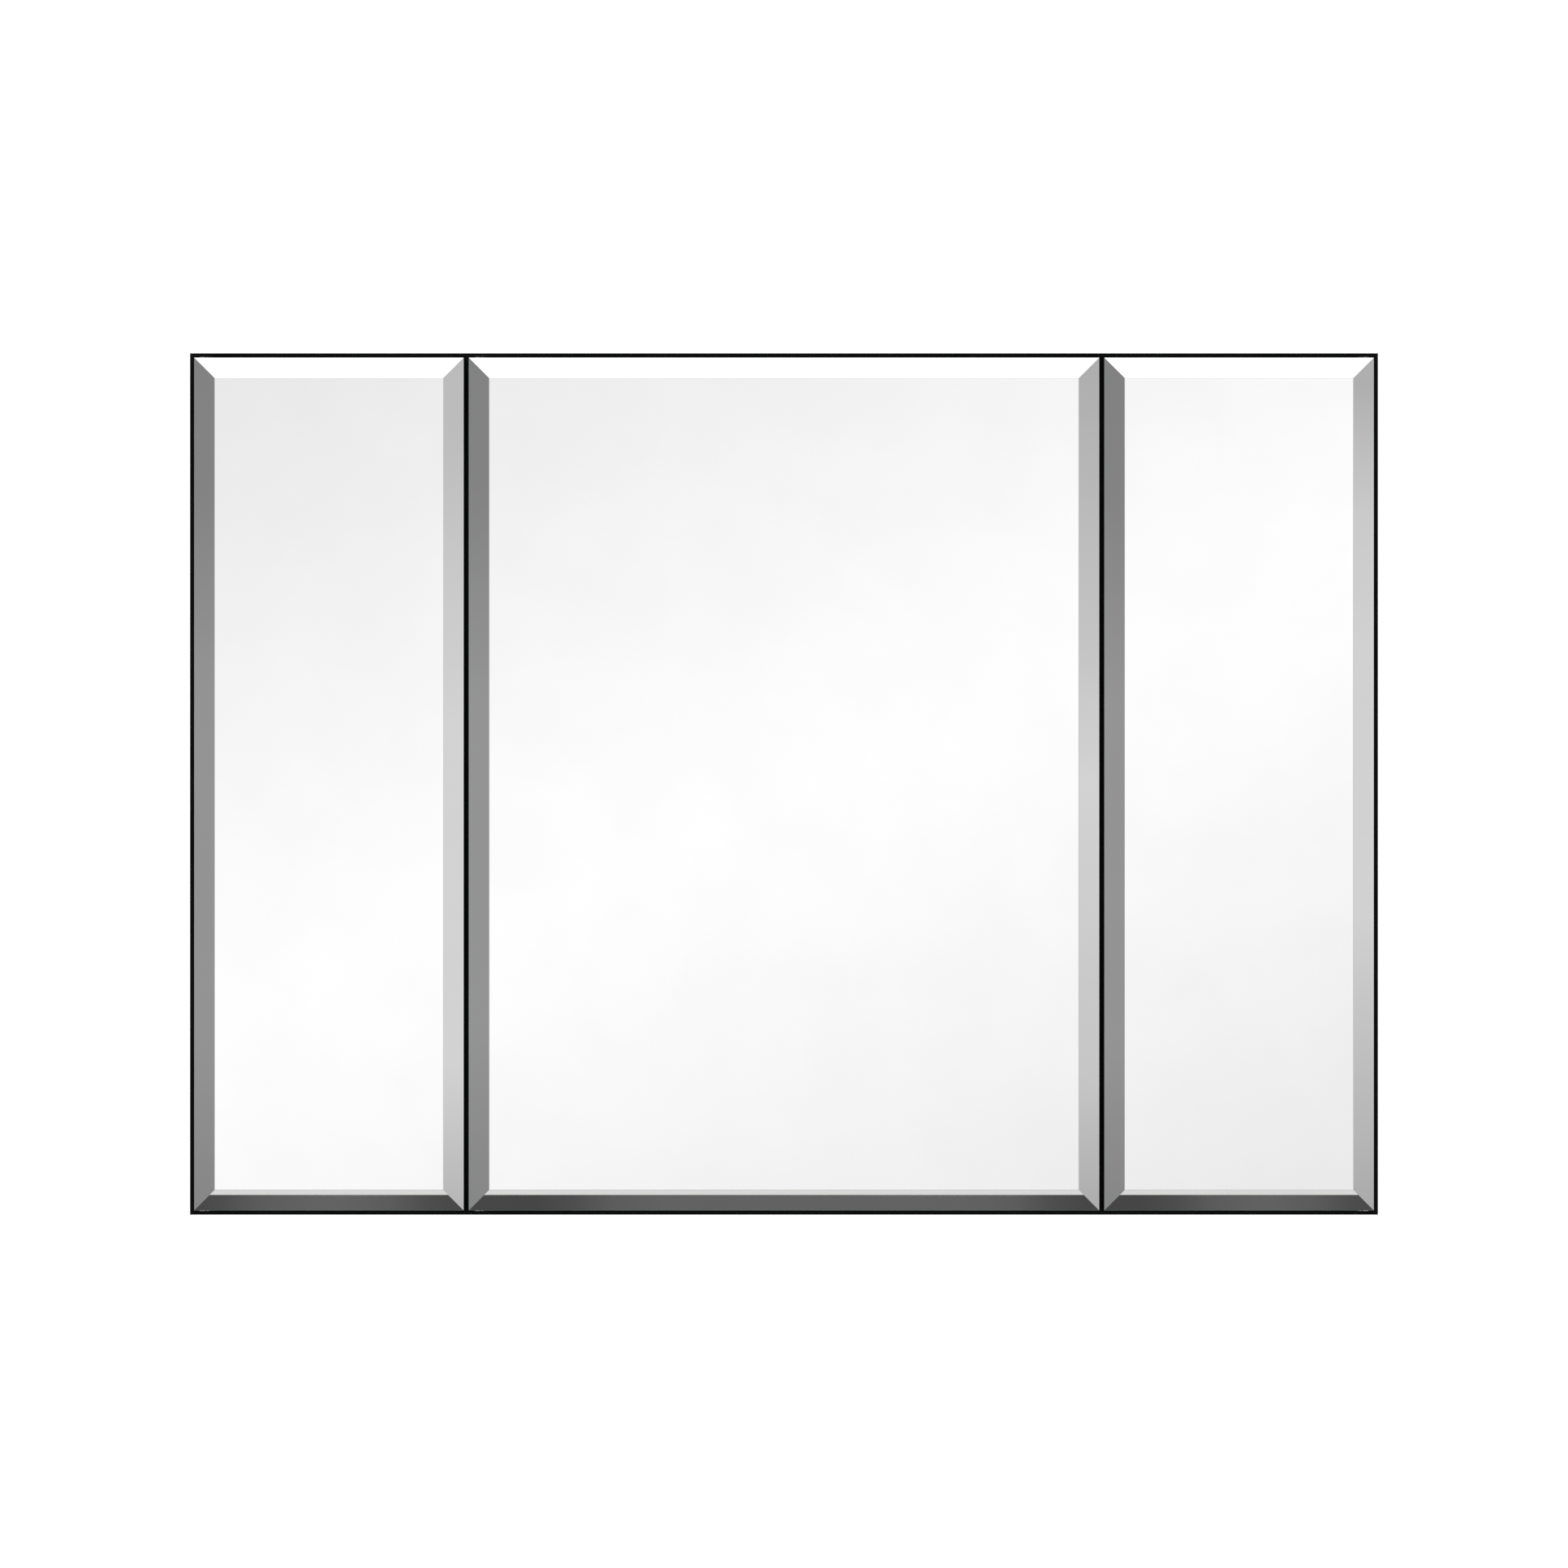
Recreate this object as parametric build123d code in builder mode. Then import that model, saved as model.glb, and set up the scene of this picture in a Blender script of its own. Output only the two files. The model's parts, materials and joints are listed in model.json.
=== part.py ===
"""Three-door mirrored medicine cabinet, for surface mounting or for recessing into a wall.

A sheet aluminium box carries a black front frame. Two partitions split it into three bays, each with
two glass shelves and a mirrored back. Three bevelled mirror doors cover the whole front. Each door
turns on a pair of pivot brackets, at the top and bottom of its hinge edge, and a magnet holds it shut.

Row frame, in millimetres: X to the viewer's right, Y into the wall, Z up. The origin is the centre
of the box's back face, where it meets the wall. "out" below means forward of the front frame, along -Y.
"""

import os
from math import cos, radians, sin

from build123d import *

# ---------------------------------------------------------------- overall
overall_width = 924.0
overall_height = 670.0
side_door_pitch = 215.0  # cabinet edge to the middle of the joint between two doors
edge_reveal = 2.8  # gap from the front frame's edge in to a door's edge
door_spacing = 2.4  # gap between two doors

# ---------------------------------------------------------------- box
box_inset = 17.5  # the front frame's edge to the box, on each side
box_depth = 96.5
sheet = 1.5
partition_thickness = 12.0
angle_leg = 14.0
angle_start, angle_end = 20.0, 80.0  # corner angles, measured from the wall
rail_height, rail_depth, rail_thickness = 30.0, 15.0, 3.0  # hanging rails
stud_spacing = 406.4  # wall studs at 16 inches
wall_screw_hole = 6.5
side_screw_hole = 5.5
side_screw_depths = (28.0, 72.0)
side_screw_height = 525.0

# ---------------------------------------------------------------- front frame
frame_face = 20.0
frame_depth = 14.0
frame_wall = 1.5
fin_length = 12.0
mullion_face = 20.0

# ---------------------------------------------------------------- rivets and screws
rivet_shank = 3.1
rivet_hole = 3.2
rivet_head = 6.0
rivet_head_height = 1.0
rivet_head_slope = 40.0  # degrees
rail_rivet_end = 44.5  # the box's side to the first rivet along its top
stile_rivet_end = 47.5  # the box's top to the first rivet down its side
mullion_rivet_end = 61.0
angle_rivet_end = 15.0
mullion_rivet_count, frame_rail_rivet_count, frame_stile_rivet_count = 4, 5, 4
rail_rivet_count = 6
back_rivet_places = (100.0, 380.0)
screw_shank = 3.8
screw_hole = 4.0
screw_head = 7.0
screw_length = 8.0
countersink_slope = 45.0  # degrees from the screw's axis
drive_width, drive_depth = 0.9, 1.0

# ---------------------------------------------------------------- shelves and back mirrors
shelf_thickness = 5.0
shelf_depth = 76.0
shelf_back = 6.0  # the wall to the shelf's back edge
shelf_side_gap = 1.5
shelf_corner = 4.0
shelf_edge_round = 0.8
pin_pitch = 35.0
pin_rows = 15
shelf_step = 3  # rows of pin holes from the middle one to each shelf's
pin_inset = 14.0  # a shelf's front or back edge to its pins
pin_hole = 5.0
pin_stem, pin_collar, pin_peg = 4.8, 9.0, 6.0
pin_stem_length, pin_collar_length, pin_peg_length = 4.0, 1.2, 9.0
back_mirror_thickness = 3.0
back_mirror_gap = 1.0

# ---------------------------------------------------------------- doors
door_gap = 2.5  # front frame to the door's rear face
member_width = 24.0
member_depth = 15.0
member_wall = 1.5
member_chamfer = 1.0
glass_thickness = 5.0
glass_inset = 0.75  # black rim seen round the glass
bevel_width = 16.0
bevel_drop = 2.8
door_mirror_thickness = 3.0
door_mirror_gap = 0.5
key_leg = 45.0
key_clearance = 0.1
bumper_diameter, bumper_height, bumper_round = 8.0, 2.2, 0.9
bumper_inset = 5.5  # free edge to the bumper's centre
bumper_end_inset = 12.0
bumper_middle = 110.0

# ---------------------------------------------------------------- pivots
opening_angle = 105.0
pivot_inset = 7.5  # hinge edge to the pin's axis
pivot_behind_glass = 3.0  # glass's rear face to the pin's axis
pin_radius = 1.5
pin_end_chamfer = 0.25
pin_short_of_bush = 1.0  # the pin ends this far before the bush does
running_clearance = 0.05
bush_radius = 2.5
bush_length = 12.5
bush_stand = 0.3  # the bush stands above the notch's floor
leaf_thickness = 2.0
leaf_end_radius = 2.7
leaf_clearance = 0.4
leaf_right = 16.0
notch_height = 2.8
leaf_below_door_top = 0.3
flange_thickness = 1.6
flange_end = 44.0
flange_height = 16.0
bracket_screw_places = (23.0, 37.0)

# ---------------------------------------------------------------- catches
catch_width, catch_height, catch_length = 12.0, 32.0, 16.6
catch_out = 0.6
magnet_width, magnet_height, magnet_length = 8.0, 18.0, 9.0
magnet_out = 1.2
magnet_clearance = 0.1
strike_width, strike_height, strike_thickness = 10.0, 24.0, 1.0
catch_screw_shank, catch_screw_head = 2.8, 5.2
catch_screw_spacing = 24.0
catch_counterbore = 4.0
catch_screw_head_height = 2.0

# ---------------------------------------------------------------- worked out
half_width, half_height = overall_width / 2, overall_height / 2
box_half_width, box_half_height = half_width - box_inset, half_height - box_inset
inner_half_width, inner_half_height = box_half_width - sheet, box_half_height - sheet
divider = half_width - side_door_pitch
carcass_depth = box_depth + frame_depth
glass_rear = door_gap + member_depth
shelf_rows = (-shelf_step * pin_pitch, shelf_step * pin_pitch)
pin_depths = (shelf_back + pin_inset, shelf_back + shelf_depth - pin_inset)
door_height = overall_height - 2 * edge_reveal
door_top = door_height / 2
side_door_width = side_door_pitch - edge_reveal - door_spacing / 2
centre_door_width = 2 * divider - door_spacing
pivot_out = glass_rear - pivot_behind_glass
fin_middle = box_depth - fin_length / 2
partition_half = partition_thickness / 2

# name, hinge edge, direction from the hinge edge to the free edge, width
doors = (
    ("left", -half_width + edge_reveal, 1, side_door_width),
    ("centre", -divider + door_spacing / 2, 1, centre_door_width),
    ("right", half_width - edge_reveal, -1, side_door_width),
)
# name, left wall, right wall
bays = (
    ("left", -inner_half_width, -divider - partition_half),
    ("centre", -divider + partition_half, divider - partition_half),
    ("right", divider + partition_half, inner_half_width),
)

os.makedirs("parts", exist_ok=True)


def keep(name, part):
    """Labels a finished piece and writes it as a node."""
    part.label = name
    export_step(part, f"parts/{name}.step")


def block(x_low, x_high, y_low, y_high, z_low, z_high, mode=Mode.ADD):
    """A box between two corners, added to the open BuildPart."""
    size = (abs(x_high - x_low), abs(y_high - y_low), abs(z_high - z_low))
    middle = ((x_low + x_high) / 2, (y_low + y_high) / 2, (z_low + z_high) / 2)
    with Locations(middle):
        Box(*size, mode=mode)


def round_bar(point, along, radius, length, mode=Mode.ADD, taper=0.0):
    """A cylinder or cone that starts at a point and runs along a direction."""
    with BuildSketch(Plane(origin=point, z_dir=along)) as section:
        Circle(radius)
    extrude(section.sketch, amount=length, taper=taper, mode=mode)


def backward(direction):
    return tuple(-c for c in direction)


def spread(count, reach):
    """Evenly spaced places from -reach to reach."""
    return [reach * (2 * i / (count - 1) - 1) for i in range(count)]


# ---------------------------------------------------------------- rivets: (head's seat, outward, grip)
box_side_x, box_top_z = box_half_width + sheet, box_half_height + sheet
frame_rivets = [
    ((x, -fin_middle, s * box_top_z), (0, 0, s), 2 * sheet)
    for s in (1, -1)
    for x in spread(frame_rail_rivet_count, box_half_width - rail_rivet_end)
]
frame_rivets += [
    ((s * box_side_x, -fin_middle, z), (s, 0, 0), 2 * sheet)
    for s in (1, -1)
    for z in spread(frame_stile_rivet_count, box_half_height - stile_rivet_end)
]
mullion_rivets = [
    ((m * divider + s * (partition_half + sheet), -fin_middle, z), (s, 0, 0), 2 * sheet)
    for m in (1, -1)
    for s in (1, -1)
    for z in spread(mullion_rivet_count, inner_half_height - mullion_rivet_end)
]
angle_rivets = [
    ((sx * (inner_half_width - angle_leg / 2), -y, sz * box_half_height), (0, 0, sz), 2 * sheet)
    for sx in (1, -1)
    for sz in (1, -1)
    for y in (angle_start + angle_rivet_end, angle_end - angle_rivet_end)
]
angle_rivets += [
    ((sx * box_half_width, -y, sz * (inner_half_height - angle_leg / 2)), (sx, 0, 0), 2 * sheet)
    for sx in (1, -1)
    for sz in (1, -1)
    for y in (angle_start + angle_rivet_end, angle_end - angle_rivet_end)
]
rail_rivets = [
    ((x, -(sheet + rail_depth / 2), s * box_half_height), (0, 0, s), sheet + rail_thickness)
    for s in (1, -1)
    for x in spread(rail_rivet_count, box_half_width - rail_rivet_end)
]
rail_hole_z = inner_half_height - (rail_height + rail_thickness) / 2
back_rivets = [
    ((x, -(sheet + rail_thickness), s * rail_hole_z), (0, -1, 0), sheet + rail_thickness)
    for s in (1, -1)
    for sx in (1, -1)
    for x in (sx * place for place in back_rivet_places)
]
all_rivets = frame_rivets + mullion_rivets + angle_rivets + rail_rivets + back_rivets


def drill_rivets(rivets):
    """Cuts the rivets' holes from the open BuildPart, a little beyond the grip."""
    for seat, outward, grip in rivets:
        start = tuple(p + sheet * o for p, o in zip(seat, outward))
        round_bar(start, backward(outward), rivet_hole / 2, grip + 2 * sheet, Mode.SUBTRACT)


# ================================================================ box
with BuildPart() as back_panel:
    block(-box_half_width, box_half_width, -sheet, 0, -box_half_height, box_half_height)
    with Locations(Plane.XZ):
        with GridLocations(stud_spacing, 2 * rail_hole_z, 2, 2):
            Cylinder(wall_screw_hole / 2, 4 * sheet, mode=Mode.SUBTRACT)
    drill_rivets(back_rivets)
keep("back_panel", back_panel.part)

for name, s in (("top", 1), ("bottom", -1)):
    with BuildPart() as panel:
        z_inner, z_outer = s * inner_half_height, s * box_half_height
        block(-box_half_width, box_half_width, -box_depth, -sheet, z_inner, z_outer)
        drill_rivets([r for r in frame_rivets + angle_rivets + rail_rivets if r[1] == (0, 0, s)])
    keep(f"{name}_panel", panel.part)

pin_heights = spread(pin_rows, pin_pitch * (pin_rows - 1) / 2)
for name, s in (("left", -1), ("right", 1)):
    with BuildPart() as panel:
        x_inner, x_outer = s * inner_half_width, s * box_half_width
        block(x_inner, x_outer, -box_depth, -sheet, -inner_half_height, inner_half_height)
        for y in pin_depths:
            for z in pin_heights:
                round_bar((x_outer, -y, z), (-s, 0, 0), pin_hole / 2, sheet, Mode.SUBTRACT)
        for y in side_screw_depths:
            for z in (-side_screw_height / 2, side_screw_height / 2):
                round_bar((x_outer, -y, z), (-s, 0, 0), side_screw_hole / 2, sheet, Mode.SUBTRACT)
        drill_rivets([r for r in frame_rivets + angle_rivets if r[1] == (s, 0, 0)])
    keep(f"{name}_side_panel", panel.part)

with BuildPart() as corner_angles:
    for sx in (1, -1):
        for sz in (1, -1):
            x, z = sx * inner_half_width, sz * inner_half_height
            block(x - sx * angle_leg, x, -angle_end, -angle_start, z - sz * sheet, z)
            block(x - sx * sheet, x, -angle_end, -angle_start, z - sz * angle_leg, z - sz * sheet)
    drill_rivets(angle_rivets)
keep("corner_angles", corner_angles.part)

# hanging rails: a flat bar against the back panel, and a strip welded to its front that meets the
# top or the bottom panel
bar_front = -(sheet + rail_thickness)
with BuildPart() as hanging_rails:
    for s in (1, -1):
        z = s * inner_half_height
        block(-inner_half_width, inner_half_width, bar_front, -sheet, z - s * rail_height, z)
    with Locations(Plane.XZ.offset(sheet)):
        with GridLocations(stud_spacing, 2 * rail_hole_z, 2, 2):
            Cylinder(wall_screw_hole / 2, 4 * rail_thickness, mode=Mode.SUBTRACT)
    drill_rivets(back_rivets)
keep("hanging_rails", hanging_rails.part)

with BuildPart() as rail_flanges:
    for s in (1, -1):
        z = s * inner_half_height
        flange_front = -(sheet + rail_depth)
        block(-inner_half_width, inner_half_width, flange_front, bar_front, z - s * rail_thickness, z)
    drill_rivets(rail_rivets)
keep("rail_flanges", rail_flanges.part)

for name, m in (("left", -1), ("right", 1)):
    x = m * divider
    x_left, x_right = x - partition_half, x + partition_half
    with BuildPart() as partition:
        block(x_left, x_right, -box_depth, -sheet, -inner_half_height, inner_half_height)
        hollow = (x_left + sheet, x_right - sheet, sheet - box_depth, -2 * sheet)
        block(*hollow, -inner_half_height, inner_half_height, Mode.SUBTRACT)
        for s in (1, -1):
            z = s * inner_half_height
            notch = (x_left, x_right, -(sheet + rail_depth), -sheet)
            block(*notch, z - s * rail_height, z, Mode.SUBTRACT)
        for y in pin_depths:
            for z in pin_heights:
                seat = (x_left, -y, z)
                round_bar(seat, (1, 0, 0), pin_hole / 2, partition_thickness, Mode.SUBTRACT)
        drill_rivets([r for r in mullion_rivets if abs(r[0][0] - x) < mullion_face])
    keep(f"{name}_partition", partition.part)

# ---------------------------------------------------------------- mirrored back and glass shelves
for name, wall_left, wall_right in bays:
    mirror_half = inner_half_height - rail_height - back_mirror_gap
    with BuildPart() as mirror:
        x_low, x_high = wall_left + back_mirror_gap, wall_right - back_mirror_gap
        block(x_low, x_high, -(sheet + back_mirror_thickness), -sheet, -mirror_half, mirror_half)
    keep(f"{name}_back_mirror", mirror.part)
    bay_middle = ((wall_left + wall_right) / 2, -(shelf_back + shelf_depth / 2))
    shelf_width = wall_right - wall_left - 2 * shelf_side_gap
    for level, row in zip(("lower", "upper"), shelf_rows):
        with BuildPart() as shelf:
            with BuildSketch(Plane.XY.offset(row + pin_peg / 2)):
                with Locations(bay_middle):
                    RectangleRounded(shelf_width, shelf_depth, shelf_corner)
            extrude(amount=shelf_thickness)
            fillet(shelf.faces().filter_by(Axis.Z).edges(), shelf_edge_round)
        keep(f"{name}_{level}_shelf", shelf.part)

with BuildPart() as shelf_pins:
    for _, wall_left, wall_right in bays:
        for wall, into in ((wall_left, 1), (wall_right, -1)):
            for y in pin_depths:
                for z in shelf_rows:
                    seat = (wall, -y, z)
                    round_bar(seat, (-into, 0, 0), pin_stem / 2, pin_stem_length)
                    round_bar(seat, (into, 0, 0), pin_collar / 2, pin_collar_length)
                    round_bar(seat, (into, 0, 0), pin_peg / 2, pin_peg_length)
keep("shelf_pins", shelf_pins.part)


# ================================================================ mitred frames
def ring_member(centre_x, width, height, side, outline, cavity):
    """One hollow mitred member of a rectangular frame; outline and cavity hold (inward, y) points."""
    s = 1 if side in ("right", "top") else -1
    upright = side in ("left", "right")
    half_w, half_h = width / 2, height / 2
    with BuildPart() as member:
        plane = Plane.XY.offset(-half_h) if upright else Plane.YZ.offset(centre_x - half_w)
        with BuildSketch(plane):
            for points, mode in ((outline, Mode.ADD), (cavity, Mode.SUBTRACT)):
                if upright:
                    corners = [(centre_x + s * (half_w - inward), y) for inward, y in points]
                else:
                    corners = [(y, s * (half_h - inward)) for inward, y in points]
                with BuildLine():
                    Polyline(*corners, close=True)
                make_face(mode=mode)
        extrude(amount=height if upright else width)
        for end in (1, -1):
            if upright:
                corner, normal = (centre_x + s * half_w, 0, end * half_h), (s, 0, -end)
            else:
                corner, normal = (centre_x + end * half_w, 0, s * half_h), (-end, 0, s)
            split(bisect_by=Plane(origin=corner, z_dir=normal), keep=Keep.TOP)
    return member


def corner_keys(centre_x, half_w, half_h, wall, width, y_low, y_high):
    """Adds the L-shaped keys in the hollows at the four corners of a mitred frame."""
    near, far = wall + key_clearance, width - wall - key_clearance
    y_low, y_high = y_low + wall + key_clearance, y_high - wall - key_clearance
    for sx in (1, -1):
        for sz in (1, -1):
            x_near, x_far = centre_x + sx * (half_w - near), centre_x + sx * (half_w - far)
            z_near, z_far = sz * (half_h - near), sz * (half_h - far)
            block(x_near, centre_x + sx * (half_w - key_leg), y_low, y_high, z_near, z_far)
            block(x_near, x_far, y_low, y_high, z_far, sz * (half_h - key_leg))


# ---------------------------------------------------------------- front frame
frame_back, frame_front = -box_depth, -carcass_depth
fin_outer, fin_inner = box_inset - sheet, box_inset
frame_outline = (
    (0, frame_front),
    (frame_face, frame_front),
    (frame_face, frame_back),
    (fin_inner, frame_back),
    (fin_inner, frame_back + fin_length),
    (fin_outer, frame_back + fin_length),
    (fin_outer, frame_back),
    (0, frame_back),
)
frame_cavity = (
    (frame_wall, frame_front + frame_wall),
    (frame_face - frame_wall, frame_front + frame_wall),
    (frame_face - frame_wall, frame_back - frame_wall),
    (frame_wall, frame_back - frame_wall),
)
# pivot bracket screws: (x, 1 at the top or -1 at the bottom)
screw_z = door_top - leaf_below_door_top - leaf_thickness - (flange_height - leaf_thickness) / 2
bracket_screws = [
    (edge + s * u, sz) for _, edge, s, _ in doors for u in bracket_screw_places for sz in (1, -1)
]


def drill_bracket_screws(radius):
    """Cuts the bracket screws' holes from the open BuildPart, in from the front frame's face."""
    for x, sz in bracket_screws:
        round_bar((x, frame_front, sz * screw_z), (0, 1, 0), radius, screw_length, Mode.SUBTRACT)


for node, sides, axis in (("frame_rails", ("top", "bottom"), 2), ("frame_stiles", ("left", "right"), 0)):
    with BuildPart() as members:
        for side in sides:
            add(ring_member(0, overall_width, overall_height, side, frame_outline, frame_cavity).part)
        if node == "frame_rails":
            drill_bracket_screws(screw_hole / 2)
        drill_rivets([r for r in frame_rivets if r[1][axis]])
    keep(node, members.part)

with BuildPart() as frame_keys:
    corner_keys(0, half_width, half_height, frame_wall, frame_face, frame_front, frame_back)
    drill_bracket_screws(screw_hole / 2)
keep("frame_corner_keys", frame_keys.part)

# catches: (mullion, side of the mullion)
catches = ((-1, -1), (1, -1), (1, 1))
catch_screw_heights = (-catch_screw_spacing / 2, catch_screw_spacing / 2)
catch_screw_y = frame_front + frame_depth / 2
mullion_half = mullion_face / 2
mullion_end = half_height - frame_face
with BuildPart() as mullions:
    for m in (-1, 1):
        x = m * divider
        hollow_half = mullion_half - frame_wall
        y_near, y_far = frame_front + frame_wall, frame_back - frame_wall
        block(x - mullion_half, x + mullion_half, frame_front, frame_back, -mullion_end, mullion_end)
        block(x - hollow_half, x + hollow_half, y_near, y_far, -mullion_end, mullion_end, Mode.SUBTRACT)
        for s in (1, -1):
            x_fin = x + s * partition_half
            fin = (x_fin, x_fin + s * sheet, frame_back, frame_back + fin_length)
            block(*fin, -mullion_end, mullion_end)
    for m, s in catches:
        for z in catch_screw_heights:
            seat = (m * divider + s * mullion_half, catch_screw_y, z)
            round_bar(seat, (-s, 0, 0), catch_screw_shank / 2, 2 * frame_wall, Mode.SUBTRACT)
    drill_rivets(mullion_rivets)
keep("mullions", mullions.part)

with BuildPart() as rivets:
    for seat, outward, grip in all_rivets:
        round_bar(seat, outward, rivet_head / 2, rivet_head_height, taper=rivet_head_slope)
        round_bar(seat, backward(outward), rivet_shank / 2, grip)
keep("rivets", rivets.part)

# ---------------------------------------------------------------- magnetic catches
with BuildPart() as catch_housings:
    for m, s in catches:
        x = m * divider + s * mullion_half
        y_front = frame_front - catch_out
        body_depth = (y_front, y_front + catch_length)
        block(x, x + s * catch_width, *body_depth, -catch_height / 2, catch_height / 2)
        middle = x + s * catch_width / 2
        pocket_w, pocket_h = magnet_width / 2 + magnet_clearance, magnet_height / 2 + magnet_clearance
        pocket = (middle - pocket_w, middle + pocket_w, y_front, frame_front - magnet_out + magnet_length)
        block(*pocket, -pocket_h, pocket_h, Mode.SUBTRACT)
        for z in catch_screw_heights:
            seat = (x + s * catch_width, catch_screw_y, z)
            round_bar(seat, (-s, 0, 0), catch_screw_shank / 2, catch_width, Mode.SUBTRACT)
            round_bar(seat, (-s, 0, 0), catch_screw_head / 2, catch_counterbore, Mode.SUBTRACT)
keep("catch_housings", catch_housings.part)

with BuildPart() as catch_magnets:
    for m, s in catches:
        middle = m * divider + s * (mullion_half + catch_width / 2)
        y_front = frame_front - magnet_out
        half_w, half_h = magnet_width / 2, magnet_height / 2
        block(middle - half_w, middle + half_w, y_front, y_front + magnet_length, -half_h, half_h)
keep("catch_magnets", catch_magnets.part)


# ================================================================ pivots
def at(edge, s, u, out):
    """Row frame (x, y) of a place u in from a door's hinge edge and so far out from the front frame."""
    return (edge + s * u, -(carcass_depth + out))


def turned(u, out):
    """Where a door's point comes to at full opening, as (u, out)."""
    a = radians(opening_angle)
    du, dout = u - pivot_inset, out - pivot_out
    return (pivot_inset + du * cos(a) - dout * sin(a), pivot_out + du * sin(a) + dout * cos(a))


# the leaf's neck passes beside the glass's rear corner when the door is fully open
corner_u, corner_out = turned(glass_inset, glass_rear)
neck_left = corner_u + 1.5 * leaf_clearance
tangent = radians(90 + opening_angle)
leaf_outline = (
    (neck_left, 0),
    (neck_left, corner_out),
    (pivot_inset + leaf_end_radius * cos(tangent), pivot_out + leaf_end_radius * sin(tangent)),
    (pivot_inset, pivot_out),
    (pivot_inset + leaf_end_radius, pivot_out),
    (leaf_right, pivot_out - leaf_end_radius),
    (leaf_right, flange_thickness),
    (flange_end, flange_thickness),
    (flange_end, 0),
)
leaf_top = door_top - leaf_below_door_top
leaf_low = leaf_top - leaf_thickness
notch_floor = door_top - notch_height

with BuildPart() as pivot_brackets:
    for _, edge, s, _ in doors:
        for sz in (1, -1):
            with BuildSketch(Plane.XY.offset(leaf_low if sz == 1 else -leaf_top)):
                with BuildLine():
                    Polyline(*[at(edge, s, u, out) for u, out in leaf_outline], close=True)
                make_face()
                with Locations(at(edge, s, pivot_inset, pivot_out)):
                    Circle(leaf_end_radius)
                    Circle(pin_radius, mode=Mode.SUBTRACT)
            extrude(amount=leaf_thickness)
            x_near, x_far = edge + s * leaf_right, edge + s * flange_end
            z_far = sz * (leaf_top - flange_height)
            block(x_near, x_far, frame_front - flange_thickness, frame_front, sz * leaf_low, z_far)
            for u in bracket_screw_places:
                seat = (edge + s * u, frame_front - flange_thickness, sz * screw_z)
                sink = (seat, (0, 1, 0), screw_head / 2, flange_thickness)
                round_bar(*sink, Mode.SUBTRACT, countersink_slope)
                round_bar(seat, (0, 1, 0), screw_hole / 2, flange_thickness, Mode.SUBTRACT)
keep("pivot_brackets", pivot_brackets.part)

with BuildPart() as pivot_pins:
    pin_end = notch_floor - bush_length + pin_short_of_bush
    for _, edge, s, _ in doors:
        for sz in (1, -1):
            x, y = at(edge, s, pivot_inset, pivot_out)
            round_bar((x, y, sz * leaf_top), (0, 0, -sz), pin_radius, leaf_top - pin_end)
    chamfer(pivot_pins.edges().filter_by(GeomType.CIRCLE), pin_end_chamfer)
keep("pivot_pins", pivot_pins.part)

with BuildPart() as frame_screws:
    for x, sz in bracket_screws:
        seat = (x, frame_front - flange_thickness, sz * screw_z)
        round_bar(seat, (0, 1, 0), screw_head / 2, flange_thickness, taper=countersink_slope)
        round_bar(seat, (0, 1, 0), screw_shank / 2, screw_length)
        for across in ((screw_shank, drive_width), (drive_width, screw_shank)):
            with BuildSketch(Plane(origin=seat, x_dir=(1, 0, 0), z_dir=(0, 1, 0))):
                Rectangle(*across)
            extrude(amount=drive_depth, mode=Mode.SUBTRACT)
    for m, s in catches:
        grip = catch_width - catch_counterbore
        for z in catch_screw_heights:
            seat = (m * divider + s * (mullion_half + grip), catch_screw_y, z)
            round_bar(seat, (s, 0, 0), catch_screw_head / 2, catch_screw_head_height)
            round_bar(seat, (-s, 0, 0), catch_screw_shank / 2, grip + 2 * frame_wall)
keep("frame_screws", frame_screws.part)

# ================================================================ doors
rear, front = -(carcass_depth + door_gap), -(carcass_depth + glass_rear)
member_outline = (
    (member_chamfer, rear),
    (member_width, rear),
    (member_width, front),
    (0, front),
    (0, rear - member_chamfer),
)
member_cavity = (
    (member_wall, rear - member_wall),
    (member_width - member_wall, rear - member_wall),
    (member_width - member_wall, front + member_wall),
    (member_wall, front + member_wall),
)


def cut_pivot_seats(edge, s):
    """Cuts the leaf notches and the bush bores at a door's two hinge corners from the open BuildPart."""
    x, y = at(edge, s, pivot_inset, pivot_out)
    notch_end = edge + s * (leaf_right + leaf_clearance)
    bore_depth = notch_height + bush_length
    for sz in (1, -1):
        block(edge, notch_end, front, rear, sz * notch_floor, sz * door_top, Mode.SUBTRACT)
        round_bar((x, y, sz * door_top), (0, 0, -sz), bush_radius, bore_depth, Mode.SUBTRACT)


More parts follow.
